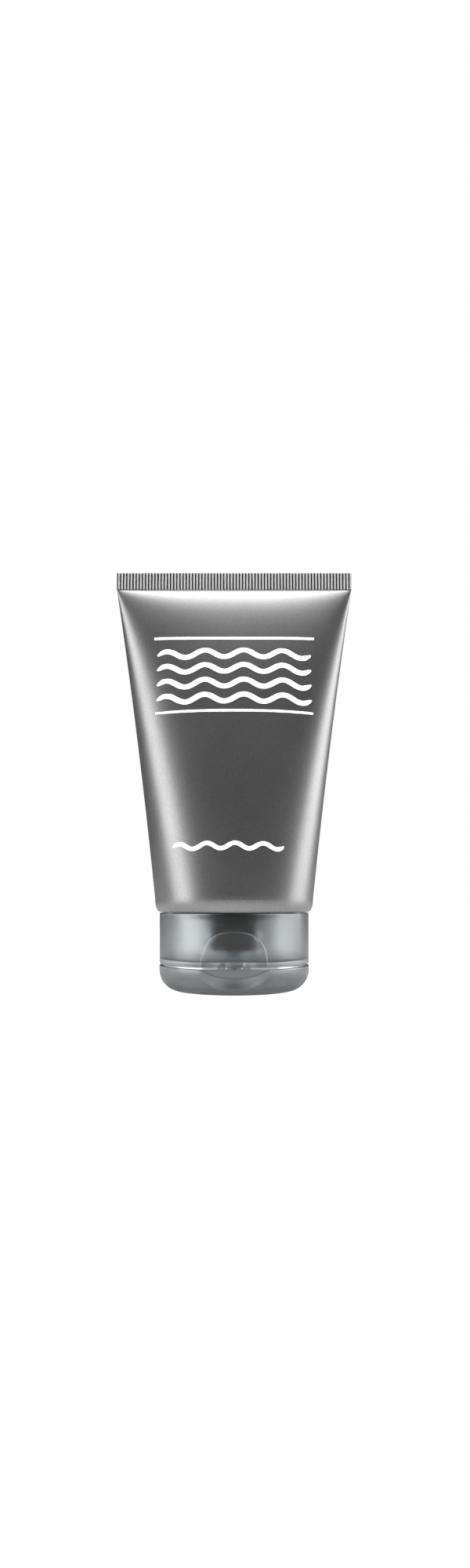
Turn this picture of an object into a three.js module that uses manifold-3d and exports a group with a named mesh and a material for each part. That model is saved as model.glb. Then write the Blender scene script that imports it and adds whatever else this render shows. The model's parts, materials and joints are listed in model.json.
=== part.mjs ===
// A squeeze tube of shaving cream that stands on its flip-top cap.
// The parts are the crimped sleeve, the moulded head that closes its round end, the cream inside,
// and the cap: a collar snapped on the neck, and a lid that swings down and back on a rear hinge.
// Millimetres. +Z is up, the front faces -Y, and the origin is the middle of the lid's flat underside.

import * as THREE from 'three';
import { mergeVertices } from 'three/addons/utils/BufferGeometryUtils.js';
import Module from 'manifold-3d';

const wasm = await Module();
wasm.setup();

// ---- Driving dimensions ----

const fitGap = 0.3;
const overcut = 2;

const sleeveDiameter = 50;
const sleeveWall = 0.6;
const sleeveSideBow = 0.175;
const sleeveDepthPower = 0.55;
const sleeveSquareness = 0.45;
const shoulderRounding = 4.1;

const crimpWidth = 77.4;
const crimpHeight = 5.6;
const crimpThickness = 1.1;
const crimpRibCount = 75;
const crimpGroove = 0.2;
const crimpStep = 0.05;
const cavityTopGap = 2;
const creamTopGap = 6;

const capDiameter = 47;
const capWall = 1.2;
const capEdgeChamfer = 0.3;
const lidHeight = 7.8;
const lidFloor = 1.5;
const lidBottomRadius = 6.4;
const partingGap = 0.6;
const collarTop = 24;
const deckThickness = 1.4;
const totalHeight = 135;

const archHalfWidth = 9.8;
const archHeight = 10.3;
const archSquareness = 2.6;
const thumbLedgeDrop = 2.5;

const neckRadius = 7.2;
const neckBoreRadius = 5.2;
const neckTip = 12.3;
const neckRoot = 21.5;
const shoulderThickness = 1.6;
const headRimHeight = 1.5;
const headRimWidth = 1;
const snapBead = 0.5;
const snapBeadZ = 14.2;
const socketTop = 18.6;
const socketWall = 1.3;
const socketFlare = 0.3;
const socketLeadIn = 0.4;

const spoutRadius = 4;
const spoutBoreRadius = 2.5;
const spoutTip = 4.9;
const spoutTipChamfer = 0.5;
const plugWall = 0.9;
const plugTip = 7.2;
const plugTipChamfer = 0.4;

const hingeWidth = 11;
const hingeLeafHeight = 4;
const hingeLeafThickness = 0.4;
const hingeLeafSetback = 0.1;
const hingeY = 23;

// ---- Dimensions worked out from those above ----

const sleeveRadius = sleeveDiameter / 2;
const capRadius = capDiameter / 2;
const deckZ = lidHeight + partingGap;
const deckTop = deckZ + deckThickness;
const sleeveBottom = collarTop + fitGap;
const shoulderZ = sleeveBottom + shoulderRounding;
const shoulderInset = sleeveRadius - capRadius;
const crimpZ = totalHeight - crimpHeight;
const webHalfDepth = crimpThickness / 2 - crimpGroove - crimpStep;
const headTop = shoulderZ + headRimHeight;
const recessPlaneY = -Math.sqrt(capRadius ** 2 - archHalfWidth ** 2);
const thumbRecessDepth = capRadius + recessPlaneY;
const hingeZ = lidHeight + partingGap / 2;
const hingeFlatY = hingeY - hingeLeafThickness - hingeLeafSetback - fitGap;
const hingeFlatTop = hingeZ + hingeLeafHeight + 2 * fitGap;

const roundSegments = 72;
const smallRoundSegments = 40;
const sleeveSegments = 48;
const cornerSteps = 6;
const archSteps = 16;

// ---- Shared shapes and solids ----

// A solid of revolution about +Z. The profile is [radius, height] pairs, anticlockwise with height up.
function lathe(profile, segments = roundSegments) {
  const points = profile.map(([radius, height]) => new THREE.Vector2(radius, height));
  const geometry = new THREE.LatheGeometry(points, segments);
  return geometry.rotateX(Math.PI / 2);
}

// Closes a profile that doesn't touch the axis, such as a ring's.
function ringLathe(profile, segments = roundSegments) {
  return lathe([...profile, profile[0]], segments);
}

// Points on an arc, from one angle to another, both in degrees.
function arc(centreRadius, centreHeight, radius, fromDegrees, toDegrees) {
  const points = [];
  for (let step = 0; step <= cornerSteps; step += 1) {
    const angle = THREE.MathUtils.degToRad(fromDegrees + ((toDegrees - fromDegrees) * step) / cornerSteps);
    points.push([centreRadius + radius * Math.cos(angle), centreHeight + radius * Math.sin(angle)]);
  }
  return points;
}

// A bar along X whose section is [y, z] pairs, anticlockwise seen from +X.
function barAlongX(section, width) {
  const shape = new THREE.Shape(section.map(([y, z]) => new THREE.Vector2(y, z)));
  const geometry = new THREE.ExtrudeGeometry(shape, { depth: width, bevelEnabled: false, curveSegments: 1 });
  geometry.translate(0, 0, -width / 2);
  const toXAxis = new THREE.Matrix4().makeBasis(
    new THREE.Vector3(0, 1, 0),
    new THREE.Vector3(0, 0, 1),
    new THREE.Vector3(1, 0, 0),
  );
  return geometry.applyMatrix4(toXAxis);
}

function box(low, high) {
  const size = high.map((value, axis) => value - low[axis]);
  const middle = high.map((value, axis) => (value + low[axis]) / 2);
  return new THREE.BoxGeometry(...size).translate(...middle);
}

function toSolid(geometry) {
  const bare = geometry.index ? geometry.clone() : geometry;
  bare.deleteAttribute('normal');
  bare.deleteAttribute('uv');
  const merged = mergeVertices(bare, 1e-4);
  return new wasm.Manifold(new wasm.Mesh({
    numProp: 3,
    vertProperties: new Float32Array(merged.attributes.position.array),
    triVerts: new Uint32Array(merged.index.array),
  }));
}

function toGeometry(solid) {
  const mesh = solid.getMesh();
  const geometry = new THREE.BufferGeometry();
  geometry.setAttribute('position', new THREE.BufferAttribute(mesh.vertProperties, 3));
  geometry.setIndex(new THREE.BufferAttribute(mesh.triVerts, 1));
  return geometry;
}

// Joins rings of points into one closed body. Rising rings face outwards, falling rings face inwards.
function loft(rings) {
  const count = rings[0].length;
  const points = rings.flat();
  const faces = [];
  for (let ring = 0; ring < rings.length - 1; ring += 1) {
    for (let i = 0; i < count; i += 1) {
      const here = ring * count + i;
      const next = ring * count + ((i + 1) % count);
      faces.push(here, next, next + count, here, next + count, here + count);
    }
  }
  const lastStart = (rings.length - 1) * count;
  for (let i = 1; i < count - 1; i += 1) {
    faces.push(0, i + 1, i);
    faces.push(lastStart, lastStart + i, lastStart + i + 1);
  }
  const geometry = new THREE.BufferGeometry().setFromPoints(points);
  geometry.setIndex(faces);
  return geometry;
}

// ---- The sleeve's form ----

// 0 where the sleeve is round, at the head, and 1 where its two walls meet, at the crimp.
function flatness(z) {
  return THREE.MathUtils.clamp((z - shoulderZ) / (crimpZ - shoulderZ), 0, 1);
}

// How far the sleeve's rounded lower edge has turned in towards the cap.
function edgeInset(z) {
  const drop = THREE.MathUtils.clamp((shoulderZ - z) / shoulderRounding, 0, 1);
  return shoulderInset * (1 - Math.sqrt(1 - drop * drop));
}

// One level section of the sleeve, moved in by a wall thickness: round at the head,
// and wider, thinner and squarer towards the crimp.
function sleeveRing(z, inset) {
  const flat = flatness(z);
  const fullFlare = crimpWidth / 2 - crimpStep - sleeveRadius;
  const flare = fullFlare * flat * (1 - sleeveSideBow * (1 - flat));
  const halfWidth = sleeveRadius + flare - edgeInset(z) - inset;
  const fullDepth = sleeveRadius * (1 - flat) ** sleeveDepthPower - edgeInset(z);
  const halfDepth = Math.max(fullDepth, webHalfDepth) - inset;
  const roundness = 2 / (2 + sleeveSquareness * flat);
  const ring = [];
  for (let i = 0; i < sleeveSegments; i += 1) {
    const angle = (2 * Math.PI * i) / sleeveSegments;
    const across = Math.sign(Math.cos(angle)) * Math.abs(Math.cos(angle)) ** roundness;
    const deep = Math.sign(Math.sin(angle)) * Math.abs(Math.sin(angle)) ** roundness;
    ring.push(new THREE.Vector3(halfWidth * across, halfDepth * deep, z));
  }
  return ring;
}

// Heights that are even round the lower edge, and closer together towards the crimp.
function sleeveHeights(fromZ, toZ, edgeSteps, bodySteps) {
  const heights = [];
  for (let step = 0; step < edgeSteps; step += 1) {
    const angle = (Math.PI / 2) * (step / edgeSteps);
    heights.push(shoulderZ - (shoulderZ - fromZ) * Math.cos(angle));
  }
  for (let step = 0; step <= bodySteps; step += 1) {
    const part = Math.sin((Math.PI / 2) * (step / bodySteps));
    heights.push(shoulderZ + (toZ - shoulderZ) * part);
  }
  return heights;
}

// The flat welded end, with ribs pressed into both faces.
function crimpBar() {
  const pitch = crimpWidth / crimpRibCount;
  const crest = crimpThickness / 2;
  const front = [];
  for (let rib = 0; rib < crimpRibCount; rib += 1) {
    const left = -crimpWidth / 2 + rib * pitch;
    front.push(new THREE.Vector2(left, -(crest - crimpGroove)));
    front.push(new THREE.Vector2(left + pitch / 2, -crest));
  }
  front.push(new THREE.Vector2(crimpWidth / 2, -(crest - crimpGroove)));
  const back = front.map((point) => new THREE.Vector2(point.x, -point.y)).reverse();
  const shape = new THREE.Shape([...front, ...back]);
  const geometry = new THREE.ExtrudeGeometry(shape, { depth: crimpHeight, bevelEnabled: false });
  return geometry.translate(0, 0, crimpZ);
}

function tubeSleeve() {
  const outside = sleeveHeights(sleeveBottom, crimpZ, 4, 15).map((z) => sleeveRing(z, 0));
  const inside = sleeveHeights(sleeveBottom, crimpZ - cavityTopGap, 3, 9).map((z) => sleeveRing(z, sleeveWall));
  const webInCrimp = sleeveRing(crimpZ + crimpHeight / 2, 0);
  const body = loft([...inside.reverse(), ...outside, webInCrimp]);
  return toGeometry(toSolid(body).add(toSolid(crimpBar())));
}

function shavingCream() {
  const inset = sleeveWall + fitGap;
  const heights = sleeveHeights(headTop + fitGap, crimpZ - creamTopGap, 0, 11).slice(1);
  const rings = [headTop + fitGap, ...heights].map((z) => sleeveRing(z, inset));
  const neckFillTop = headTop + 2 * fitGap;
  const neckFill = lathe([
    [0, deckTop + fitGap],
    [spoutBoreRadius - fitGap, deckTop + fitGap],
    [spoutBoreRadius - fitGap, neckTip],
    [neckBoreRadius - fitGap, neckTip + fitGap],
    [neckBoreRadius - fitGap, neckFillTop],
    [0, neckFillTop],
  ], smallRoundSegments);
  return toGeometry(toSolid(loft(rings)).add(toSolid(neckFill)));
}

// ---- The head: a shoulder disc inside the sleeve's lower edge, and a neck that points down ----

function tubeHead() {
  const rimRadius = sleeveRadius - sleeveWall - fitGap;
  const footRadius = capRadius - sleeveWall - fitGap;
  const outerEdge = arc(footRadius, shoulderZ, rimRadius - footRadius, -60, 0);
  return ringLathe([
    [neckBoreRadius, neckTip],
    [neckRadius, neckTip],
    [neckRadius, snapBeadZ - snapBead],
    [neckRadius + snapBead, snapBeadZ],
    [neckRadius, snapBeadZ + snapBead],
    [neckRadius, neckRoot],
    [footRadius - headRimWidth, collarTop + fitGap],
    ...outerEdge,
    [rimRadius, headTop],
    [rimRadius - headRimWidth, headTop],
    [footRadius - headRimWidth, collarTop + fitGap + shoulderThickness],
    [neckBoreRadius, neckRoot + shoulderThickness],
  ]);
}

// ---- The cap's collar ----

// The thumb recess runs straight across the front. It is deepest at the parting line, and its face
// curves forwards as it rises, so that it meets the round cap in a squared arch.
function thumbRecess(backing) {
  const face = [];
  for (let step = 0; step <= archSteps; step += 1) {
    const angle = (Math.PI / 2) * (step / archSteps);
    const halfWidth = archHalfWidth * Math.cos(angle) ** (2 / archSquareness);
    const height = (archHeight + backing) * Math.sin(angle) ** (2 / archSquareness);
    face.push([backing - Math.sqrt(capRadius ** 2 - halfWidth ** 2), deckZ + height]);
  }
  const outY = -capRadius - overcut;
  return barAlongX([
    [outY, deckZ - overcut],
    [recessPlaneY + backing, deckZ - overcut],
    ...face,
    [outY, deckZ + archHeight + backing],
  ], capDiameter);
}

// The cap is cut flat at the rear, so that the hinge lies within its round outline.
function hingeFlat() {
  return box([-capRadius, hingeFlatY, -overcut], [capRadius, capRadius + overcut, hingeFlatTop]);
}

function capCollar() {
  const outer = lathe([
    [0, deckZ],
    [capRadius - capEdgeChamfer, deckZ],
    [capRadius, deckZ + capEdgeChamfer],
    [capRadius, collarTop],
    [0, collarTop],
  ]);
  const inner = lathe([
    [0, deckTop],
    [capRadius - capWall, deckTop],
    [capRadius - capWall, collarTop + overcut],
    [0, collarTop + overcut],
  ]);
  const flatBacking = box([-capRadius, hingeFlatY - capWall, 0], [capRadius, capRadius, hingeFlatTop + capWall]);
  const hollow = toSolid(inner).subtract(toSolid(thumbRecess(capWall))).subtract(toSolid(flatBacking));
  const spoutHole = lathe([
    [0, 0],
    [spoutRadius + fitGap, 0],
    [spoutRadius + fitGap, deckTop + overcut],
    [0, deckTop + overcut],
  ], smallRoundSegments);
  return toGeometry(toSolid(outer)
    .subtract(hollow)
    .subtract(toSolid(thumbRecess(0)))
    .subtract(toSolid(hingeFlat()))
    .subtract(toSolid(spoutHole)));
}

// The sleeve inside the collar that snaps over the neck's bead.
function neckSocket() {
  const boreRadius = neckRadius + fitGap;
  return ringLathe([
    [boreRadius, deckTop + fitGap],
    [boreRadius + socketWall, deckTop + fitGap],
    [boreRadius + socketWall + socketFlare, socketTop],
    [boreRadius + socketLeadIn, socketTop],
    [boreRadius, socketTop - 2 * socketLeadIn],
    [boreRadius, snapBeadZ + snapBead + fitGap],
    [boreRadius + snapBead, snapBeadZ],
    [boreRadius, snapBeadZ - snapBead - fitGap],
  ], smallRoundSegments);
}

function pourSpout() {
  return ringLathe([
    [spoutBoreRadius, spoutTip],
    [spoutRadius - spoutTipChamfer, spoutTip],
    [spoutRadius, spoutTip + spoutTipChamfer],
    [spoutRadius, deckTop],
    [spoutBoreRadius, deckTop],
  ], smallRoundSegments);
}

// ---- The lid ----

// A sloping ledge for the thumb, cut across the top of the lid's front.
function thumbLedge() {
  const reach = 2;
  const outY = recessPlaneY - thumbRecessDepth * reach;
  const outZ = lidHeight - thumbLedgeDrop * reach;
  return barAlongX([
    [recessPlaneY, lidHeight],
    [recessPlaneY, lidHeight + overcut],
    [outY, lidHeight + overcut],
    [outY, outZ],
  ], capDiameter);
}

function lidShell() {
  const outer = lathe([
    [0, 0],
    ...arc(capRadius - lidBottomRadius, lidBottomRadius, lidBottomRadius, -90, 0),
    [capRadius, lidHeight - capEdgeChamfer],
    [capRadius - capEdgeChamfer, lidHeight],
    [0, lidHeight],
  ]);
  const innerCorner = lidBottomRadius - capWall;
  const inner = lathe([
    [0, lidFloor],
    ...arc(capRadius - capWall - innerCorner, lidFloor + innerCorner, innerCorner, -90, 0),
    [capRadius - capWall, lidHeight + overcut],
    [0, lidHeight + overcut],
  ]);
  const frontBacking = box([-capRadius, -capRadius, 0], [capRadius, recessPlaneY + capWall, lidHeight + overcut]);
  const rearBacking = box([-capRadius, hingeFlatY - capWall, 0], [capRadius, capRadius, lidHeight + overcut]);
  const hollow = toSolid(inner).subtract(toSolid(frontBacking)).subtract(toSolid(rearBacking));
  return toGeometry(toSolid(outer)
    .subtract(hollow)
    .subtract(toSolid(thumbLedge()))
    .subtract(toSolid(hingeFlat())));
}

// The ring that stands on the lid's floor and stops the spout.
function lidPlug() {
  const radius = spoutBoreRadius - fitGap;
  return ringLathe([
    [radius - plugWall, lidFloor + fitGap],
    [radius, lidFloor + fitGap],
    [radius, plugTip - plugTipChamfer],
    [radius - plugTipChamfer, plugTip],
    [radius - plugWall, plugTip],
  ], smallRoundSegments);
}

// ---- The hinge: two leaves on the rear flats, either side of the film they fold at ----

function hingeLeaf(fromZ, toZ) {
  const outerY = hingeY - hingeLeafSetback;
  return box([-hingeWidth / 2, outerY - hingeLeafThickness, fromZ], [hingeWidth / 2, outerY, toZ]);
}

// ---- Materials ----

const finishes = {
  metallicSleeve: { color: 0x8b8b8b, roughness: 0.36, metalness: 0.85 },
  darkHead: { color: 0x26282a, roughness: 0.5, metalness: 0 },
  cream: { color: 0xf2f1ec, roughness: 0.4, metalness: 0 },
  frostedCap: { color: 0x8f969b, roughness: 0.4, metalness: 0 },
};

function part(name, geometry, finish) {
  const mesh = new THREE.Mesh(geometry, new THREE.MeshStandardMaterial(finish));
  mesh.name = name;
  return mesh;
}

// ---- Assembly: the lid turns about an axis along X at [0, hingeY, hingeZ] ----

const tube = new THREE.Group();
tube.add(
  part('tube_sleeve', tubeSleeve(), finishes.metallicSleeve),
  part('tube_head', tubeHead(), finishes.darkHead),
  part('shaving_cream', shavingCream(), finishes.cream),
);

const collar = new THREE.Group();
collar.add(
  part('cap_collar', capCollar(), finishes.frostedCap),
  part('neck_socket', neckSocket(), finishes.frostedCap),
  part('pour_spout', pourSpout(), finishes.frostedCap),
  part('hinge_leaf_collar', hingeLeaf(hingeZ + fitGap, hingeZ + hingeLeafHeight), finishes.frostedCap),
);

const lid = new THREE.Group();
lid.add(
  part('lid_shell', lidShell(), finishes.frostedCap),
  part('lid_plug', lidPlug(), finishes.frostedCap),
  part('hinge_leaf_lid', hingeLeaf(hingeZ - hingeLeafHeight, hingeZ - fitGap), finishes.frostedCap),
);

const group = new THREE.Group();
group.add(tube, collar, lid);

export default group;
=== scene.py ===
"""A shaving cream tube standing on its flip-top cap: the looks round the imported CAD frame.

Sizes are millimetres in the CAD frame (+Z up, front towards -Y) until add_mesh() turns them into metres.
"""

import json
import math

import bpy
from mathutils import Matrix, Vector


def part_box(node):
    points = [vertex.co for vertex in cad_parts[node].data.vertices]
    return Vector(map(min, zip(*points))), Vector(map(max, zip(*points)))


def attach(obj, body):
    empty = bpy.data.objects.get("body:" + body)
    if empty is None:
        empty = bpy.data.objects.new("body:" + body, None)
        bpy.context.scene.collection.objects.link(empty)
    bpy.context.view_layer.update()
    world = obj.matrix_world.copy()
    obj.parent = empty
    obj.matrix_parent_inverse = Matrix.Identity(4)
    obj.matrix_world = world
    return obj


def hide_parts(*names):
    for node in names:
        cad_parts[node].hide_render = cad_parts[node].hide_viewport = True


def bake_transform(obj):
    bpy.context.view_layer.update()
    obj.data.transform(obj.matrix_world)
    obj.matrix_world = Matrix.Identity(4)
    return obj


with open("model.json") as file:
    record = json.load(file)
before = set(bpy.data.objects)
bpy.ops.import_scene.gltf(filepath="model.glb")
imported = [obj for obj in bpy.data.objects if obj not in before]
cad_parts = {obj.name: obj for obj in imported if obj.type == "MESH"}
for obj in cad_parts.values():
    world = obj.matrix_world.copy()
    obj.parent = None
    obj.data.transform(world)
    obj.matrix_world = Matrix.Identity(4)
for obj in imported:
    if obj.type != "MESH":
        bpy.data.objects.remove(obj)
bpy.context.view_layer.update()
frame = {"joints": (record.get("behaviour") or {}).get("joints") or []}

MM = 0.001


def node_box(node):
    """Lowest and highest corner of a CAD node, in millimetres."""
    low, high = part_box(node)
    return low / MM, high / MM


# ---- Sizes taken from the frame ----

sleeve_low, sleeve_high = node_box("tube_sleeve")
collar_low, collar_high = node_box("cap_collar")
lid_high = node_box("lid_shell")[1]
socket_low, socket_high = node_box("neck_socket")
spout_low, spout_high = node_box("pour_spout")
plug_low, plug_high = node_box("lid_plug")
head_low, head_high = node_box("tube_head")
lid_hinge = Vector(frame["joints"][0]["pos_m"]) / MM

SLEEVE_RADIUS = sleeve_high.y
SLEEVE_BOTTOM = sleeve_low.z
CRIMP_HALF_WIDTH = sleeve_high.x
CRIMP_TOP = sleeve_high.z
CAP_RADIUS = collar_high.x
DECK_Z = collar_low.z
COLLAR_TOP = collar_high.z
LID_HEIGHT = lid_high.z
HINGE_FLAT_Y = lid_high.y

# ---- Sizes that repeat the CAD's ----

FIT_GAP = 0.3
SLEEVE_WALL = 0.6
CAVITY_TOP_GAP = 2
CREAM_TOP_GAP = 6
SHOULDER_ROUNDING = 4.1
SHOULDER_Z = SLEEVE_BOTTOM + SHOULDER_ROUNDING
SIDE_BOW = 0.175
DEPTH_POWER = 0.55
SQUARENESS = 0.45
CRIMP_HEIGHT = 5.6
CRIMP_Z = CRIMP_TOP - CRIMP_HEIGHT
CRIMP_HALF_THICKNESS = 0.55
CRIMP_STEP = 0.05
RIB_COUNT = 75

CAP_WALL = 1.2
CAP_EDGE_ROUNDING = 0.3
DECK_THICKNESS = 1.4
DECK_TOP = DECK_Z + DECK_THICKNESS
LID_FLOOR = 1.5
LID_BOTTOM_RADIUS = 6.4
ARCH_HALF_WIDTH = 9.8
ARCH_HEIGHT = 10.3
ARCH_SQUARENESS = 2.6
ARCH_TOP = DECK_Z + ARCH_HEIGHT
RECESS_PLANE = math.sqrt(CAP_RADIUS ** 2 - ARCH_HALF_WIDTH ** 2)
RECESS_DEPTH = CAP_RADIUS - RECESS_PLANE
LEDGE_DROP = 2.5
HINGE_WIDTH = 11
HINGE_LEAF_HEIGHT = 4
HINGE_LEAF_THICKNESS = 0.4
HINGE_LEAF_Y = HINGE_FLAT_Y + FIT_GAP
HINGE_FLAT_TOP = lid_hinge.z + HINGE_LEAF_HEIGHT + 2 * FIT_GAP
NECK_RADIUS = 7.2
NECK_BORE = 5.2
NECK_TIP = head_low.z
NECK_ROOT = 21.5
SNAP_BEAD = 0.5
SNAP_BEAD_Z = 14.2
SHOULDER_THICKNESS = 1.6
SOCKET_WALL = 1.3
SPOUT_BORE = 2.5
PLUG_WALL = 0.9

# ---- Sizes of the finer shapes that only the looks have ----

RIB_DEPTH = 0.3
FRONT_BLEND = 0.22
REAR_BLEND = 0.15

# ---- Meshes ----


def add_mesh(name, points, faces, material, body, smooth_angle=35):
    """Makes a piece from points in millimetres, smooth-shaded except at its sharp edges.

    body is None for a piece that spans two bodies and so rides on neither.
    """
    mesh = bpy.data.meshes.new(name)
    mesh.from_pydata([tuple(c * MM for c in p) for p in points], [], faces)
    mesh.validate()
    piece = bpy.data.objects.new(name, mesh)
    bpy.context.scene.collection.objects.link(piece)
    mesh.materials.append(material)
    mesh.shade_smooth()
    mesh.set_sharp_from_angle(angle=math.radians(smooth_angle))
    if body:
        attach(piece, body)
    return piece


def loft(rings, ends="fan"):
    """Joins rings of points, each anticlockwise from above. Rising rings face out, falling rings face in.

    ends is fan for a cap at each end, strip for a cap on a thin two-sided outline,
    or closed where the last ring joins the first.
    """
    count = len(rings[0])
    points = [p for ring in rings for p in ring]
    faces = []
    spans = len(rings) if ends == "closed" else len(rings) - 1
    for r in range(spans):
        lower = r * count
        upper = ((r + 1) % len(rings)) * count
        for i in range(count):
            j = (i + 1) % count
            faces.append((lower + i, lower + j, upper + j, upper + i))
    last = (len(rings) - 1) * count
    if ends == "fan":
        for start, flip in ((0, True), (last, False)):
            centre = len(points)
            ring = points[start:start + count]
            points.append(tuple(sum(p[axis] for p in ring) / count for axis in range(3)))
            for i in range(count):
                edge = (start + i, start + (i + 1) % count)
                faces.append((centre, edge[1], edge[0]) if flip else (centre, edge[0], edge[1]))
    if ends == "strip":
        half = count // 2
        for start, flip in ((0, True), (last, False)):
            for i in range(half - 1):
                quad = [start + i, start + i + 1, start + count - 2 - i, start + count - 1 - i]
                faces.append(tuple(reversed(quad)) if flip else tuple(quad))
    return points, faces


def spaced(start, end, steps):
    """Evenly spaced values from start to end, with both ends in it."""
    return [start + (end - start) * step / steps for step in range(steps + 1)]


def circle(radius, z, columns):
    """A level ring of points about the axis."""
    angles = [2 * math.pi * i / columns for i in range(columns)]
    return [(radius * math.cos(angle), radius * math.sin(angle), z) for angle in angles]


def turned(name, profile, material, body, columns=144):
    """A ring turned about +Z from [radius, height] pairs that run anticlockwise, with height up."""
    rings = [circle(radius, height, columns) for radius, height in profile]
    points, faces = loft(rings, "closed")
    return add_mesh(name, points, faces, material, body)


def arc(centre_radius, centre_height, radius, start, end, steps):
    """[radius, height] pairs along an arc, with its angles in degrees."""
    pairs = []
    for step in range(steps + 1):
        angle = math.radians(start + (end - start) * step / steps)
        pairs.append((centre_radius + radius * math.cos(angle), centre_height + radius * math.sin(angle)))
    return pairs


def smooth_min(a, b, blend):
    """The lesser of two values, rounded off where they are within blend of each other."""
    near = max(blend - abs(a - b), 0) / blend
    return min(a, b) - near * near * blend / 4


# ---- The sleeve's form ----


def flatness(z):
    """0 where the sleeve is round, at the head, and 1 where its walls meet, at the crimp."""
    return min(max((z - SHOULDER_Z) / (CRIMP_Z - SHOULDER_Z), 0), 1)


def edge_inset(z):
    """How far the sleeve's rounded lower edge has turned in."""
    drop = min(max((SHOULDER_Z - z) / SHOULDER_ROUNDING, 0), 1)
    return (SLEEVE_RADIUS - CAP_RADIUS) * (1 - math.sqrt(1 - drop * drop))


def sleeve_section(z):
    """Half width, half depth and the section's exponent at a height."""
    flat = flatness(z)
    full_flare = CRIMP_HALF_WIDTH - CRIMP_STEP - SLEEVE_RADIUS
    half_width = SLEEVE_RADIUS + full_flare * flat * (1 - SIDE_BOW * (1 - flat)) - edge_inset(z)
    half_depth = SLEEVE_RADIUS * (1 - flat) ** DEPTH_POWER - edge_inset(z)
    web = CRIMP_HALF_THICKNESS - RIB_DEPTH
    return half_width, max(half_depth, web), 2 + SQUARENESS * flat


def sleeve_ring(z, inset=0, columns=288):
    """One level section of the sleeve, at a depth into its wall."""
    half_width, half_depth, exponent = sleeve_section(z)
    power = 2 / exponent
    ring = []
    for i in range(columns):
        angle = 2 * math.pi * i / columns
        across = math.copysign(abs(math.cos(angle)) ** power, math.cos(angle))
        deep = math.copysign(abs(math.sin(angle)) ** power, math.sin(angle))
        ring.append(((half_width - inset) * across, (half_depth - inset) * deep, z))
    return ring


def sleeve_front(x, z):
    """Y of the sleeve's front surface at a place seen from the front."""
    half_width, half_depth, exponent = sleeve_section(z)
    across = min(abs(x) / half_width, 1)
    return -half_depth * (1 - across ** exponent) ** (1 / exponent)


def sleeve_heights(top, edge_steps=10, body_steps=110):
    """Heights that are even round the lower edge, and closer together towards the crimp."""
    heights = []
    for step in range(edge_steps):
        heights.append(SHOULDER_Z - SHOULDER_ROUNDING * math.cos(math.pi / 2 * step / edge_steps))
    for step in range(body_steps + 1):
        heights.append(SHOULDER_Z + (top - SHOULDER_Z) * math.sin(math.pi / 2 * step / body_steps))
    return heights


def make_sleeve(material):
    """The sleeve's wall: down the inside from the crimp, and up the outside to it."""
    outside = [sleeve_ring(z) for z in sleeve_heights(CRIMP_Z)]
    inside = [sleeve_ring(z, SLEEVE_WALL) for z in sleeve_heights(CRIMP_Z - CAVITY_TOP_GAP, 6, 40)]
    points, faces = loft(inside[::-1] + outside)
    piece = add_mesh("sleeve_body", points, faces, material, "tube", 60)
    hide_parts("tube_sleeve")
    return piece


def rib_section():
    """One rib as [share of the pitch, share of the rib's depth] pairs: a groove, then a crowned crest."""
    groove_end = 0.17
    crest_start = 0.42
    crest_end = 0.97
    crest_edge = 0.86
    section = [(0, 0), (groove_end, 0), (crest_start - 0.06, 0.1), (crest_start, crest_edge)]
    for share in (0.2, 0.5, 0.8):
        crown = 1 - (1 - crest_edge) * (2 * share - 1) ** 2
        section.append((crest_start + (crest_end - crest_start) * share, crown))
    section.append((crest_end, crest_edge))
    return section


RIB_SECTION = rib_section()
# The faces on these steps get the paler crest material, a painted highlight.
CREST_STEPS = range(3, 7)  # the steps of RIB_SECTION that run over the crest


def crimp_outline(height_share):
    """One level section of the crimp. height_share runs from 0 at its lower edge to 1 at its top."""
    fade_share = 0.06
    fade = min(height_share, 1 - height_share) / fade_share
    relief = RIB_DEPTH * math.sqrt(min(max(fade, 0), 1))
    base = CRIMP_HALF_THICKNESS - RIB_DEPTH
    pitch = 2 * CRIMP_HALF_WIDTH / RIB_COUNT
    front = []
    for rib in range(RIB_COUNT):
        left = -CRIMP_HALF_WIDTH + rib * pitch
        front += [(left + share * pitch, -(base + relief * depth)) for share, depth in RIB_SECTION]
    front.append((CRIMP_HALF_WIDTH, -base))
    return front + [(x, -y) for x, y in reversed(front)]


def make_crimp(material, crest_highlight_material):
    """The flat band of upright ribs: on both faces the crests get a paler copy of the lacquer, a painted
    highlight, and the rest of each rib a darker copy, painted shade.
    """
    edge_shares = (0.0, 0.006, 0.02, 0.04, 0.06)
    height_shares = edge_shares + (0.35, 0.65) + tuple(1 - share for share in reversed(edge_shares))
    rings = []
    for share in height_shares:
        z = CRIMP_Z + CRIMP_HEIGHT * share
        rings.append([(x, y, z) for x, y in crimp_outline(share)])
    points, faces = loft(rings, "strip")
    piece = add_mesh("sleeve_crimp", points, faces, material, "tube", 50)
    piece.data.materials.append(crest_highlight_material)
    count = len(rings[0])
    for polygon in piece.data.polygons[:count * (len(rings) - 1)]:
        step = polygon.index % count
        if step > count // 2:
            step = count - 2 - step
        if step % len(RIB_SECTION) in CREST_STEPS:
            polygon.material_index = 1
    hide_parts("tube_sleeve")
    return piece


# ---- The cap ----


def cap_angles():
    """Angles round the cap from the front, in degrees: close together at the recess and at the rear flats."""
    angles = []
    angle = -180.0
    while angle < 180:
        angles.append(angle)
        if abs(angle) < 30:
            angle += 0.5
        elif abs(angle) > 150:
            angle += 1.0
        else:
            angle += 2.0
    return angles


CAP_ANGLES = cap_angles()


def cap_ring(radius_at, z):
    """A level ring round the cap, where radius_at gives the radius at each angle from the front."""
    ring = []
    for degrees in CAP_ANGLES:
        angle = math.radians(degrees)
        radius = radius_at(angle)
        ring.append((radius * math.sin(angle), -radius * math.cos(angle), z))
    return ring


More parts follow.
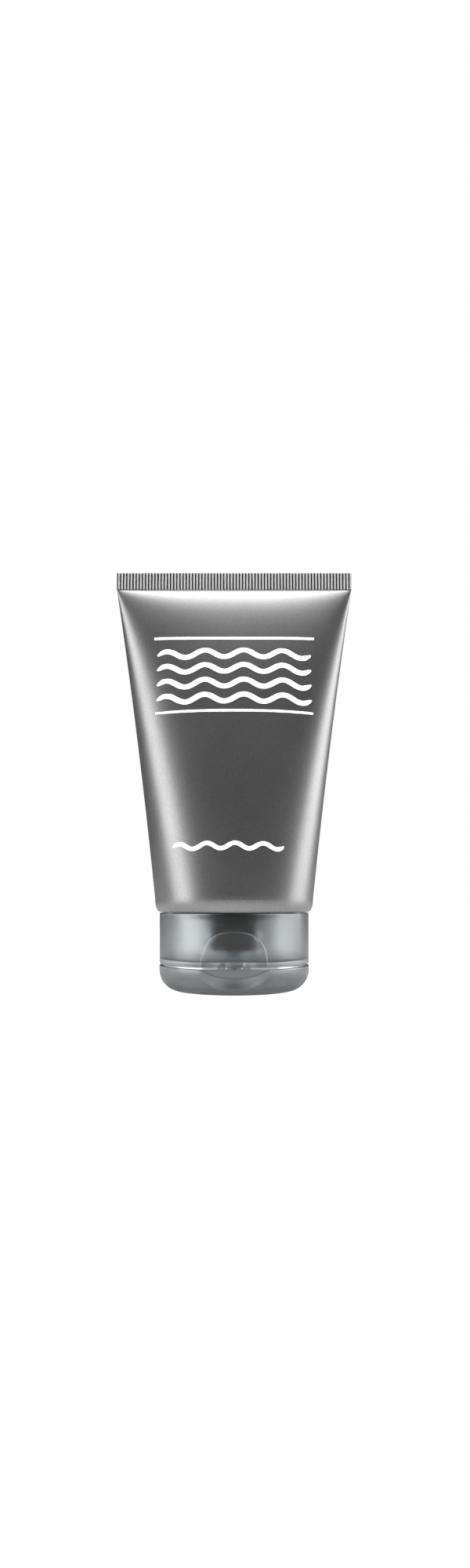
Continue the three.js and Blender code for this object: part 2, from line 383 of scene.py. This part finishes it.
def cut_front(radius, angle, plane):
    """A radius cut back, in the front third, to a plane at distance plane from the axis."""
    if math.cos(angle) < 0.5:
        return radius
    return smooth_min(radius, plane / math.cos(angle), FRONT_BLEND)


def cut_rear(radius, angle, plane):
    """A radius cut back, in the rear third, to a plane at distance plane from the axis."""
    if math.cos(angle) > -0.5:
        return radius
    return smooth_min(radius, plane / -math.cos(angle), REAR_BLEND)


def arch_half_width(z):
    """Half the width of the thumb recess's arched outline at a height."""
    rise = min(max(z - DECK_Z, 0) / ARCH_HEIGHT, 1)
    return ARCH_HALF_WIDTH * (1 - rise ** ARCH_SQUARENESS) ** (1 / ARCH_SQUARENESS)


def recess_plane(z, thickness=0):
    """Distance from the axis of the thumb recess's floor, which is flat from side to side.

    Above the arch it lies outside the cap, so it cuts nothing.
    """
    if z > ARCH_TOP:
        return 2 * CAP_RADIUS
    return math.sqrt(CAP_RADIUS ** 2 - arch_half_width(z) ** 2) - thickness


def collar_radius(z, wall=0):
    """The collar's radius at each angle, at a height and a depth into its wall."""
    def at(angle):
        radius = cut_front(CAP_RADIUS - wall, angle, recess_plane(z, wall))
        if z < HINGE_FLAT_TOP + wall:
            radius = cut_rear(radius, angle, HINGE_FLAT_Y - wall)
        return radius
    return at


def line_inside(piece, material, first, last):
    """Gives the faces of a shell's inner side a material of their own."""
    piece.data.materials.append(material)
    for polygon in piece.data.polygons[first:last]:
        polygon.material_index = 1


def make_collar(material, inner_material):
    """The collar's wall and deck: up the outside, down the inside, and through the spout's hole."""
    edge = CAP_EDGE_ROUNDING
    corner = 0.5
    hole = spout_high.x + FIT_GAP

    def shrunk(z, shrink, wall=0):
        at = collar_radius(z, wall)
        return lambda angle: at(angle) - shrink

    rings = []
    for radius, rise in arc(0, 0, edge, -90, 0, 5):
        z = DECK_Z + edge + rise
        rings.append(cap_ring(shrunk(z, edge - radius), z))
    for z in spaced(DECK_Z + edge, ARCH_TOP, 52)[1:] + spaced(ARCH_TOP, COLLAR_TOP - edge, 6)[1:]:
        rings.append(cap_ring(collar_radius(z), z))
    for radius, rise in arc(0, 0, edge, 0, 90, 4)[1:]:
        z = COLLAR_TOP - edge + rise
        rings.append(cap_ring(shrunk(z, edge - radius), z))
    inner_start = len(rings)
    for z in spaced(COLLAR_TOP, ARCH_TOP, 3) + spaced(ARCH_TOP, DECK_TOP + corner, 18)[1:]:
        rings.append(cap_ring(collar_radius(z, CAP_WALL), z))
    rings.append(cap_ring(shrunk(DECK_TOP, corner, CAP_WALL), DECK_TOP))
    rings.append(cap_ring(lambda angle: hole, DECK_TOP))
    rings.append(cap_ring(lambda angle: hole, DECK_Z))
    points, faces = loft(rings, "closed")
    piece = add_mesh("collar_shell", points, faces, material, "tube", 50)
    line_inside(piece, inner_material, inner_start * len(CAP_ANGLES), len(faces))
    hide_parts("cap_collar")
    return piece


def ledge_plane(z):
    """Distance from the axis of the sloping thumb ledge."""
    return RECESS_PLANE + (LID_HEIGHT - z) * RECESS_DEPTH / LEDGE_DROP


def lid_profile(z):
    """The lid's outer radius at a height, with its rounded lower edge."""
    drop = max(LID_BOTTOM_RADIUS - z, 0)
    return CAP_RADIUS - LID_BOTTOM_RADIUS + math.sqrt(LID_BOTTOM_RADIUS ** 2 - drop ** 2)


def make_lid(material, inner_material):
    """The lid as a cup: from the middle of its flat out and up to the rim, and down inside to its floor."""
    corner = CAP_RADIUS - LID_BOTTOM_RADIUS
    edge = CAP_EDGE_ROUNDING
    outer = [(r, 0.0) for r in spaced(1, corner, 5)[:-1]]
    outer += arc(corner, LID_BOTTOM_RADIUS, LID_BOTTOM_RADIUS, -90, -12, 26)
    outer += [(lid_profile(z), z) for z in spaced(outer[-1][1], LID_HEIGHT - edge, 18)[1:]]
    outer += arc(CAP_RADIUS - edge, LID_HEIGHT - edge, edge, 0, 90, 4)[1:]

    def cut_at(radius, front_plane, rear_plane):
        def at(angle):
            if radius <= corner:
                return radius
            return cut_rear(cut_front(radius, angle, front_plane), angle, rear_plane)
        return at

    inner_corner = LID_BOTTOM_RADIUS - CAP_WALL
    inner_radius = CAP_RADIUS - CAP_WALL
    inner = [(inner_radius, z) for z in spaced(LID_HEIGHT, LID_FLOOR + inner_corner, 4)]
    inner += arc(inner_radius - inner_corner, LID_FLOOR + inner_corner, inner_corner, 0, -90, 12)[1:]
    inner += [(r, LID_FLOOR) for r in spaced(inner_radius - inner_corner, 1, 4)[1:]]

    rings = [cap_ring(cut_at(r, ledge_plane(z), HINGE_FLAT_Y), z) for r, z in outer]
    rings += [cap_ring(cut_at(r, RECESS_PLANE - CAP_WALL, HINGE_FLAT_Y - CAP_WALL), z) for r, z in inner]
    points, faces = loft(rings)
    piece = add_mesh("lid_cup", points, faces, material, "lid", 50)
    line_inside(piece, inner_material, len(outer) * len(CAP_ANGLES), (len(rings) - 1) * len(CAP_ANGLES))
    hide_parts("lid_shell")
    return piece


def bead(name, path, radius_at, material, body):
    """A fine round bead along a path, pinched to a point at each end.

    radius_at gives its radius at each share of its length, from 0 to 1.
    """
    sides = 8
    pinched = 0.15
    pinch_steps = 4
    rings = []
    for index, centre in enumerate(path):
        ahead = Vector(path[min(index + 1, len(path) - 1)]) - Vector(path[max(index - 1, 0)])
        along = ahead.normalized()
        outward = Vector((centre[0], centre[1], 0)).normalized()
        side = along.cross(outward).normalized()
        outward = side.cross(along)
        from_end = min(index, len(path) - 1 - index)
        size = radius_at(index / (len(path) - 1)) * min(pinched + from_end / pinch_steps, 1)
        ring = []
        for step in range(sides):
            angle = 2 * math.pi * step / sides
            ring.append(tuple(Vector(centre) + size * (math.cos(angle) * side + math.sin(angle) * outward)))
        rings.append(ring)
    points, faces = loft(rings)
    return add_mesh(name, points, faces, material, body, 80)


def make_recess_edge(material):
    """The bead round the arch where the thumb recess meets the collar, finest at the top of the arch."""
    half_steps = 40
    share_of_arch = 0.96
    thinnest = 0.02
    thickening = 0.08
    path = []
    for step in range(-half_steps, half_steps + 1):
        turn = math.pi / 2 * share_of_arch * step / half_steps
        z = DECK_Z + ARCH_HEIGHT * math.cos(turn) ** (2 / ARCH_SQUARENESS)
        across = math.copysign(arch_half_width(z), step)
        path.append((across, -math.sqrt(CAP_RADIUS ** 2 - across ** 2), z))

    def radius_at(share):
        return thinnest + thickening * min(abs(4 * share - 2), 1)

    return bead("recess_edge", path, radius_at, material, "tube")


def make_lid_edge(material):
    """The bead round the lid's rim, from each end of the thumb ledge round the side to the hinge."""
    thickness = 0.12
    inset = 0.08
    drop = 0.16
    end_gap = 0.5
    front = math.degrees(math.acos(RECESS_PLANE / CAP_RADIUS)) + end_gap
    rear = 180 - math.degrees(math.acos(HINGE_FLAT_Y / CAP_RADIUS)) - end_gap
    radius = CAP_RADIUS - inset
    height = LID_HEIGHT - drop
    for name, side in (("lid_edge_left", -1), ("lid_edge_right", 1)):
        angles = [math.radians(degrees) for degrees in CAP_ANGLES if front < side * degrees < rear]
        path = [(radius * math.sin(angle), -radius * math.cos(angle), height) for angle in angles]
        bead(name, path, lambda share: thickness, material, "lid")


# ---- Inside the cap and the tube ----


def make_head(material):
    """The neck from its tip up over the snap bead, the shoulder disc, and the rim in the sleeve."""
    rim = SLEEVE_RADIUS - SLEEVE_WALL - FIT_GAP
    foot = CAP_RADIUS - SLEEVE_WALL - FIT_GAP
    foot_z = COLLAR_TOP + FIT_GAP
    rim_width = 1
    tip_rounding = 0.4
    chamfer = 0.2
    fillet = 1.2
    profile = [(NECK_BORE, NECK_TIP + chamfer), (NECK_BORE + chamfer, NECK_TIP)]
    profile += arc(NECK_RADIUS - tip_rounding, NECK_TIP + tip_rounding, tip_rounding, -90, 0, 4)
    profile += [(NECK_RADIUS, SNAP_BEAD_Z - SNAP_BEAD - chamfer)]
    profile += arc(NECK_RADIUS, SNAP_BEAD_Z, SNAP_BEAD, -80, 80, 8)
    profile += [(NECK_RADIUS, SNAP_BEAD_Z + SNAP_BEAD + chamfer), (NECK_RADIUS, NECK_ROOT - fillet)]
    profile += [(NECK_RADIUS + fillet - r, z) for r, z in arc(0, NECK_ROOT - fillet, fillet, 0, 80, 6)]
    profile += [(foot - rim_width, foot_z)]
    profile += arc(foot, SHOULDER_Z, rim - foot, -60, 0, 6)
    profile += [(rim, head_high.z), (rim - rim_width, head_high.z)]
    profile += [(foot - rim_width, foot_z + SHOULDER_THICKNESS), (NECK_BORE, NECK_ROOT + SHOULDER_THICKNESS)]
    piece = turned("head_and_neck", profile, material, "tube")
    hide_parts("tube_head")
    return piece


def make_socket(material):
    """The sleeve round the neck: flared a little, and grooved inside for the snap bead."""
    bore = NECK_RADIUS + FIT_GAP
    outside = bore + SOCKET_WALL
    flare = 0.3
    flare_start = 0.5
    lip = 0.4
    mouth = 0.6
    mouth_rounding = 0.1
    low = socket_low.z
    top = socket_high.z
    groove_slope = (0.7 * SNAP_BEAD, 0.8 * SNAP_BEAD)
    profile = [(bore, low), (outside, low), (outside, low + flare_start)]
    profile += arc(outside + flare - lip, top - lip, lip, 0, 90, 5)
    profile += [(bore + mouth, top), (bore + mouth_rounding, top - mouth), (bore, top - 1.5 * mouth)]
    profile += [(bore, SNAP_BEAD_Z + SNAP_BEAD + FIT_GAP)]
    profile += [(bore + groove_slope[0], SNAP_BEAD_Z + groove_slope[1]), (bore + SNAP_BEAD, SNAP_BEAD_Z)]
    profile += [(bore + groove_slope[0], SNAP_BEAD_Z - groove_slope[1])]
    profile += [(bore, SNAP_BEAD_Z - SNAP_BEAD - FIT_GAP)]
    piece = turned("socket_sleeve", profile, material, "tube")
    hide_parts("neck_socket")
    return piece


def make_spout(material):
    """A plain nozzle with a rounded tip, chamfered at its bore."""
    radius = spout_high.x
    low = spout_low.z
    chamfer = 0.3
    rounding = 0.6
    profile = [(SPOUT_BORE, low + chamfer), (SPOUT_BORE + chamfer, low)]
    profile += arc(radius - rounding, low + rounding, rounding, -90, 0, 6)
    profile += [(radius, DECK_TOP), (SPOUT_BORE, DECK_TOP)]
    piece = turned("spout_nozzle", profile, material, "tube", 96)
    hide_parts("pour_spout")
    return piece


def make_plug(material):
    """A ring with a small foot, a fine sealing bead near its top, and a rounded tip."""
    radius = plug_high.x
    low = plug_low.z
    top = plug_high.z
    foot = 0.2
    seal_bead = 0.08
    seal_z = top - 0.9
    seal_half_height = 0.3
    tip_rounding = 0.45
    profile = [(radius - PLUG_WALL, low), (radius + foot, low), (radius, low + foot)]
    profile += [(radius, seal_z - seal_half_height), (radius + seal_bead, seal_z)]
    profile += [(radius, seal_z + seal_half_height)]
    profile += arc(radius - tip_rounding, top - tip_rounding, tip_rounding, 0, 90, 5)
    profile += [(radius - PLUG_WALL, top)]
    piece = turned("plug_ring", profile, material, "lid", 96)
    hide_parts("lid_plug")
    return piece


def make_hinge(material):
    """One thin strip from the collar's rear flat to the lid's, thinned, bowed and waisted where it folds."""
    outer_y = HINGE_LEAF_Y + HINGE_LEAF_THICKNESS
    fold_half = 0.7
    fold_steps = 16
    thinning = 0.45
    bow = 0.1
    waist_depth = 0.35
    waist_reach = 0.8
    columns = 24
    upper = spaced(lid_hinge.z + HINGE_LEAF_HEIGHT, lid_hinge.z + fold_half, 8)
    lower = spaced(lid_hinge.z - fold_half, lid_hinge.z - HINGE_LEAF_HEIGHT, 8)
    path = [(HINGE_LEAF_Y, outer_y, z) for z in upper]
    for step in range(1, fold_steps):
        angle = math.pi * step / fold_steps
        fold = math.sin(angle) ** 2
        thickness = HINGE_LEAF_THICKNESS * (1 - thinning * fold)
        y = outer_y + bow * fold
        path.append((y - thickness, y, lid_hinge.z + fold_half * math.cos(angle)))
    path += [(HINGE_LEAF_Y, outer_y, z) for z in lower]
    rings = []
    for inner_y, y, z in path:
        waist = waist_depth * math.exp(-((z - lid_hinge.z) / waist_reach) ** 2)
        half_width = HINGE_WIDTH / 2 - waist
        across = spaced(-half_width, half_width, columns)
        rings.append([(x, inner_y, z) for x in across] + [(x, y, z) for x in reversed(across)])
    points, faces = loft(rings[::-1], "strip")
    piece = add_mesh("hinge_film", points, faces, material, None, 40)
    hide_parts("hinge_leaf_collar", "hinge_leaf_lid")
    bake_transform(piece)
    return piece


def make_cream(material):
    """The fill: it follows the sleeve, runs down the neck, and ends in a soft dome just above the spout."""
    columns = 96
    spout_radius = SPOUT_BORE - FIT_GAP
    neck_radius = NECK_BORE - FIT_GAP
    dome_sag = 0.08
    dome_low = DECK_TOP + FIT_GAP - dome_sag
    dome_height = 0.6
    low = head_high.z + FIT_GAP
    height = CRIMP_Z - CREAM_TOP_GAP - low
    rings = []
    for degrees in (15, 35, 55, 75, 90):
        angle = math.radians(degrees)
        z = dome_low + dome_height * (1 - math.cos(angle))
        rings.append(circle(spout_radius * math.sin(angle), z, columns))
    rings.append(circle(spout_radius, NECK_TIP, columns))
    rings.append(circle(neck_radius, NECK_TIP + FIT_GAP, columns))
    rings.append(circle(neck_radius, low - 0.1, columns))
    for share in spaced(0, 1, 40):
        z = low + height * math.sin(math.pi / 2 * share)
        rings.append(sleeve_ring(z, SLEEVE_WALL + FIT_GAP, columns))
    points, faces = loft(rings)
    piece = add_mesh("cream_fill", points, faces, material, "tube", 60)
    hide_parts("shaving_cream")
    return piece


# ---- The print: plain rules and waves, with no lettering ----


def ribbon(half_length, centre_x, middle, thickness, columns):
    """Points and faces of a thin plate of ink that lies on the sleeve's front.

    middle and thickness give the ribbon's height and width at each share of its length, from -1 to 1.
    """
    rows = 4
    lift = 0.012
    ink = 0.03
    rings = []
    for column in range(columns + 1):
        share = 2 * column / columns - 1
        x = centre_x + half_length * share
        low = middle(share) - thickness(share) / 2
        heights = spaced(low, low + thickness(share), rows)
        outer = [(x, sleeve_front(x, z) - lift - ink, z) for z in heights]
        inner = [(x, sleeve_front(x, z) - lift, z) for z in reversed(heights)]
        rings.append(outer + inner)
    return loft(rings, "strip")


def make_print(name, ribbons, material):
    """Joins ribbons into one piece of ink."""
    points = []
    faces = []
    for ribbon_points, ribbon_faces in ribbons:
        offset = len(points)
        points += ribbon_points
        faces += [tuple(offset + corner for corner in face) for face in ribbon_faces]
    return add_mesh(name, points, faces, material, "tube", 30)


def rule(half_length, height, weight, end_rise):
    """A plain stroke right across, whose ends are a little higher or lower than its middle."""
    return ribbon(half_length, 0, lambda share: height + end_rise * share ** 2, lambda share: weight, 120)


def wave(half_length, centre_x, height, swing, weight, end_rise, cycles=4):
    """A wavy stroke, pointed at its ends, that is a little lighter at its crests and troughs."""
    tip = 0.1
    tapered_share = 0.08
    lightening = 0.2

    def middle(share):
        return height + swing * math.sin(math.pi * cycles * share) + end_rise * share ** 2

    def thickness(share):
        taper = min((1 - abs(share)) / tapered_share, 1)
        turn = math.sin(math.pi * cycles * share) ** 2
        return tip + weight * (1 - lightening * turn) * math.sqrt(taper)

    return ribbon(half_length, centre_x, middle, thickness, 60 * cycles)


def make_prints(material):
    """Two rules with four rows of waves between them, and one short wave below."""
    upper_rule = rule(25.5, height=110.3, weight=0.86, end_rise=0.4)
    lower_rule = rule(24.7, height=86.0, weight=0.76, end_rise=-0.2)
    make_print("print_rules", [upper_rule, lower_rule], material)

    lowest = 90.2
    row_pitch = 4.95
    waves = []
    for row in range(4):
        waves.append(wave(24.4, 0, lowest + row * row_pitch, swing=1.15, weight=1.86, end_rise=-0.25))
    make_print("print_waves", waves, material)

    small_wave = wave(16.8, -1.8, 44.1, swing=0.8, weight=1.44, end_rise=-0.35)
    make_print("print_small_wave", [small_wave], material)


# ---- Materials ----


def new_material(name):
    """A material and its shader's inputs."""
    material = bpy.data.materials.new(name)
    material.use_nodes = True
    return material, shader_inputs(material)


def shader_inputs(material):
    return material.node_tree.nodes["Principled BSDF"].inputs


def object_noise(material, scale, detail=2.0):
    """Noise fixed to the object, with scale as its grains to a metre."""
    place = material.node_tree.nodes.new("ShaderNodeTexCoord")
    noise = material.node_tree.nodes.new("ShaderNodeTexNoise")
    noise.inputs["Scale"].default_value = scale
    noise.inputs["Detail"].default_value = detail
    material.node_tree.links.new(place.outputs["Object"], noise.inputs["Vector"])
    return noise.outputs["Fac"]


def ramp(material, noise, low, high):
    """Turns a noise, most of which lies between 0.3 and 0.7, into a value from low to high."""
    node = material.node_tree.nodes.new("ShaderNodeMapRange")
    node.inputs["From Min"].default_value = 0.3
    node.inputs["From Max"].default_value = 0.7
    node.inputs["To Min"].default_value = low
    node.inputs["To Max"].default_value = high
    material.node_tree.links.new(noise, node.inputs["Value"])
    return node.outputs["Result"]


def vary_colour(material, noise, first, second):
    """Lets the base colour wander between two colours with a noise."""
    mix = material.node_tree.nodes.new("ShaderNodeMix")
    mix.data_type = "RGBA"
    mix.inputs["A"].default_value = (*first, 1)
    mix.inputs["B"].default_value = (*second, 1)
    links = material.node_tree.links
    links.new(ramp(material, noise, 0, 1), mix.inputs["Factor"])
    links.new(mix.outputs["Result"], shader_inputs(material)["Base Color"])


def vary_roughness(material, noise, low, high):
    """Lets the roughness wander between two values with a noise."""
    material.node_tree.links.new(ramp(material, noise, low, high), shader_inputs(material)["Roughness"])


def add_bump(material, noise, distance):
    """Fine relief from a noise, with its height in metres."""
    bump = material.node_tree.nodes.new("ShaderNodeBump")
    bump.inputs["Strength"].default_value = 1.0
    bump.inputs["Distance"].default_value = distance
    links = material.node_tree.links
    links.new(noise, bump.inputs["Height"])
    links.new(bump.outputs["Normal"], shader_inputs(material)["Normal"])


def lacquer(name, dark, light, metallic, roughness):
    """Satin silver-grey lacquer with a fine metallic grain."""
    material, inputs = new_material(name)
    inputs["Metallic"].default_value = metallic
    grain = object_noise(material, scale=2600, detail=3)
    cloud = object_noise(material, scale=45)
    vary_colour(material, grain, (dark,) * 3, (light,) * 3)
    vary_roughness(material, cloud, roughness - 0.02, roughness + 0.02)
    add_bump(material, grain, 0.00001)
    return material


def cap_plastic(name, colour, roughness, coat, ior=1.45):
    """Translucent smoke-grey polypropylene: roughness is its frosting, and coat its outer satin sheen."""
    material, inputs = new_material(name)
    inputs["IOR"].default_value = ior
    inputs["Transmission Weight"].default_value = 1.0
    inputs["Coat Weight"].default_value = coat
    inputs["Coat Roughness"].default_value = 0.36
    inputs["Coat IOR"].default_value = 1.75
    cloud = object_noise(material, scale=120)
    fine = object_noise(material, scale=2200)
    vary_colour(material, cloud, colour, tuple(channel + 0.03 for channel in colour))
    vary_roughness(material, fine, roughness, roughness + 0.03)
    add_bump(material, fine, 0.000001)
    return material


def painted_highlight_edge():
    """The cap's plastic along its edge beads, paler and less clear than the rest: a painted highlight line.
    """
    material, inputs = new_material("painted_highlight_edge")
    inputs["Transmission Weight"].default_value = 0.6
    fine = object_noise(material, scale=1500)
    vary_colour(material, fine, (0.38, 0.41, 0.43), (0.46, 0.49, 0.51))
    vary_roughness(material, fine, 0.25, 0.32)
    return material


def dark_polyethylene():
    """The head's nearly black moulded plastic."""
    material, _ = new_material("dark_polyethylene")
    fine = object_noise(material, scale=1500)
    vary_colour(material, fine, (0.018, 0.019, 0.021), (0.026, 0.027, 0.03))
    vary_roughness(material, fine, 0.45, 0.52)
    add_bump(material, fine, 0.00001)
    return material


def soft_cream():
    """White cream that lets a little light in and has soft swirls."""
    material, inputs = new_material("soft_cream")
    inputs["Subsurface Weight"].default_value = 0.3
    inputs["Subsurface Scale"].default_value = 0.002
    swirl = object_noise(material, scale=300, detail=3)
    vary_colour(material, swirl, (0.86, 0.85, 0.82), (0.92, 0.91, 0.89))
    vary_roughness(material, swirl, 0.35, 0.45)
    add_bump(material, swirl, 0.00004)
    return material


def white_ink():
    """Opaque white print ink."""
    material, _ = new_material("white_ink")
    fine = object_noise(material, scale=3000)
    vary_colour(material, fine, (0.93, 0.93, 0.93), (0.97, 0.97, 0.97))
    vary_roughness(material, fine, 0.42, 0.5)
    return material


# ---- Studio ----


def add_area_light(name, place, aim, size, power):
    """A rectangular lamp that the camera can't see, in metres and watts."""
    data = bpy.data.lights.new(name, "AREA")
    data.shape = "RECTANGLE"
    data.size, data.size_y = size
    data.energy = power
    light = bpy.data.objects.new(name, data)
    light.location = place
    light.rotation_euler = (Vector(aim) - Vector(place)).to_track_quat("-Z", "Y").to_euler()
    light.visible_camera = False
    bpy.context.scene.collection.objects.link(light)
    return light


def add_studio():
    """A softbox on each side, one overhead, a front fill, and three small panels behind the cap.

    The fill isn't mirrored by glossy surfaces. The panels shine through the cap's frosted walls.
    """
    aim = (0, 0, 0.075)
    distance = 0.45
    side_height = 0.09
    for name, azimuth, size, power in (
        ("softbox_left", -76, (0.22, 0.5), 0.82),
        ("softbox_right", 104, (0.27, 0.5), 0.94),
    ):
        angle = math.radians(azimuth)
        place = (distance * math.sin(angle), -distance * math.cos(angle), side_height)
        add_area_light(name, place, aim, size, power)
    add_area_light("softbox_top", (0.001, 0.01, 0.62), aim, (0.8, 0.42), 3.3)
    fill = add_area_light("front_fill", (0, -0.9, 0.2), (0, 0, 0.1), (0.25, 0.25), 0.4)
    fill.data.spread = math.radians(24)
    fill.visible_glossy = False
    fill.visible_transmission = False
    behind = 0.03
    for name, across, height, size, power in (
        ("backlight_left", -0.016, 0.0138, (0.0095, 0.0215), 0.00074),
        ("backlight_right", 0.0186, 0.0138, (0.005, 0.0215), 0.00055),
        ("backlight_middle", 0, 0.0102, (0.014, 0.0072), 0.0004),
    ):
        panel = add_area_light(name, (across, behind, height), (across, 0, height), size, power)
        panel.visible_diffuse = False


def view_level(tree, seen, through, lighting):
    """A brightness for what the camera sees, what shows through the cap, and what lights the object."""
    nodes = tree.nodes
    links = tree.links
    path = nodes.new("ShaderNodeLightPath")
    level = None
    for ray, brightness in (("Is Camera Ray", seen), ("Is Transmission Ray", through)):
        part = nodes.new("ShaderNodeMath")
        part.operation = "MULTIPLY"
        part.inputs[1].default_value = brightness
        links.new(path.outputs[ray], part.inputs[0])
        most = nodes.new("ShaderNodeMath")
        most.operation = "MAXIMUM"
        most.inputs[0].default_value = lighting
        if level:
            links.new(level, most.inputs[0])
        links.new(part.outputs["Value"], most.inputs[1])
        level = most.outputs["Value"]
    return level


def add_stage():
    """A pale floor that glows evenly where the camera sees it, so that it meets the backdrop softly."""
    size = 6.0
    mesh = bpy.data.meshes.new("floor")
    corners = [(-size, -size, 0), (size, -size, 0), (size, size, 0), (-size, size, 0)]
    mesh.from_pydata(corners, [], [(0, 1, 2, 3)])
    floor = bpy.data.objects.new("floor", mesh)
    bpy.context.scene.collection.objects.link(floor)
    material, inputs = new_material("pale_floor")
    inputs["Base Color"].default_value = (0.62, 0.62, 0.62, 1)
    inputs["Roughness"].default_value = 0.9
    inputs["Emission Color"].default_value = (1, 1, 1, 1)
    glow = view_level(material.node_tree, seen=0.93, through=0.12, lighting=0.06)
    material.node_tree.links.new(glow, inputs["Emission Strength"])
    mesh.materials.append(material)


def add_world():
    """A white backdrop for the camera, and a dimmer room for what the object reflects."""
    world = bpy.data.worlds.new("studio")
    world.use_nodes = True
    bpy.context.scene.world = world
    inputs = world.node_tree.nodes["Background"].inputs
    inputs["Color"].default_value = (1, 1, 1, 1)
    level = view_level(world.node_tree, seen=1.0, through=0.12, lighting=0.097)
    world.node_tree.links.new(level, inputs["Strength"])


def add_camera():
    """A near camera a little above the cap, tilted up, as the object was photographed."""
    distance = 0.3
    height = 0.0302
    to_the_right = 0.000285
    tilt_up = 6.61
    data = bpy.data.cameras.new("camera")
    data.lens = 21.55
    data.clip_start = 0.01
    camera = bpy.data.objects.new("camera", data)
    camera.location = (to_the_right, -distance, height)
    camera.rotation_euler = (math.radians(90 + tilt_up), 0, 0)
    bpy.context.scene.collection.objects.link(camera)
    bpy.context.scene.camera = camera


# ---- Build ----

add_camera()
add_studio()
add_stage()
add_world()
bpy.context.scene.view_settings.view_transform = "Standard"

sleeve_lacquer = lacquer("sleeve_lacquer", dark=0.4, light=0.52, metallic=1.0, roughness=0.38)
# Darker and paler copies of the lacquer for the crimp: painted shade in its grooves and a painted highlight
# on its crests.
painted_shade_groove_lacquer = lacquer("painted_shade_groove_lacquer", dark=0.16, light=0.2, metallic=1.0, roughness=0.45)
painted_highlight_crest_lacquer = lacquer("painted_highlight_crest_lacquer", dark=0.36, light=0.42, metallic=0.3, roughness=0.45)
satin = cap_plastic("satin_plastic", (0.56, 0.585, 0.6), roughness=0.23, coat=0.4)
clear = cap_plastic("clear_plastic", (0.84, 0.86, 0.87), roughness=0.24, coat=0.0)
thin_clear = cap_plastic("thin_clear_plastic", (0.84, 0.86, 0.87), roughness=0.16, coat=0.0, ior=1.12)
edge = painted_highlight_edge()
dark = dark_polyethylene()
cream = soft_cream()
ink = white_ink()

make_sleeve(sleeve_lacquer)
make_crimp(painted_shade_groove_lacquer, painted_highlight_crest_lacquer)
make_collar(satin, clear)
make_lid(satin, clear)
# The edge beads carry the paler edge material, painted highlight lines round the recess and the lid's rim.
make_recess_edge(edge)
make_lid_edge(edge)

make_head(dark)
make_socket(thin_clear)
make_spout(thin_clear)
make_plug(thin_clear)
make_hinge(satin)
make_cream(cream)
make_prints(ink)
